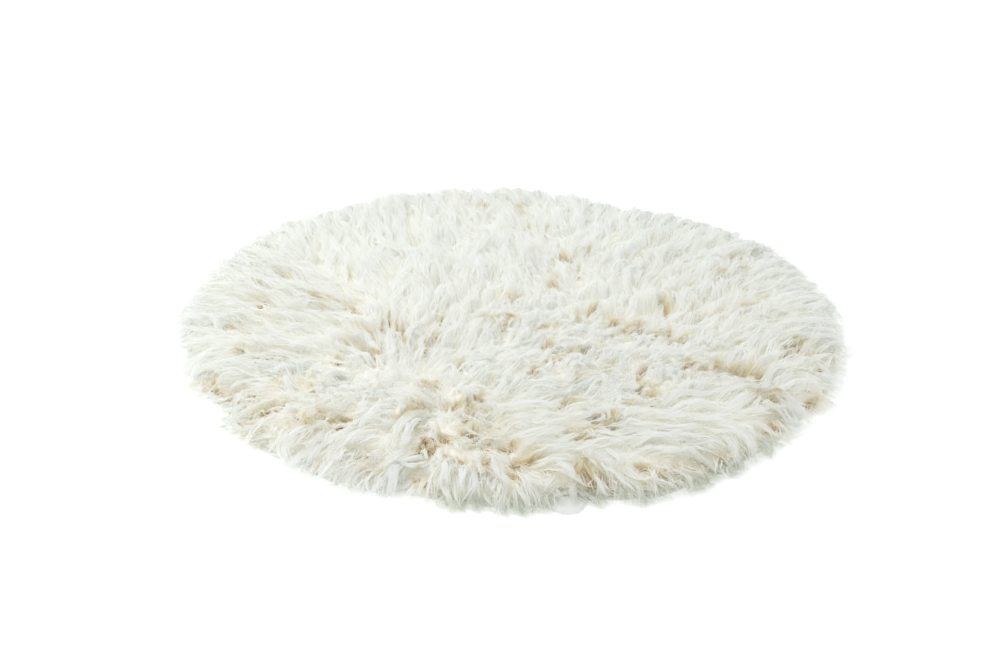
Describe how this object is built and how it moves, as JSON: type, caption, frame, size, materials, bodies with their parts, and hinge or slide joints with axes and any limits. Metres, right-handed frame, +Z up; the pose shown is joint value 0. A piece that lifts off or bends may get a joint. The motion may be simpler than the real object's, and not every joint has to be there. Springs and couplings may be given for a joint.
{
  "type": "round long-wool shag rug",
  "caption": "Round shag rug of long ivory wool on a woven wool ground cloth, lying flat, with locks falling over its rim to the floor.",
  "frame": {"origin": "on the floor, under the middle of the rug's bounding box", "axes": "+Z up; +Y points away from the picture's camera and +X to its right, with no functional front"},
  "size_m": [1.2118, 1.1892, 0.0622],
  "materials": {
    "woven_cloth": "undyed felted wool cloth, plain weave, matt",
    "long_wool": "long undyed ivory wool in loose wavy locks, warm at the roots, soft sheen"
  },
  "bodies": {
    "root": {"ground_cloth": "woven_cloth", "wool_pile": "long_wool"}
  },
  "joints": []
}
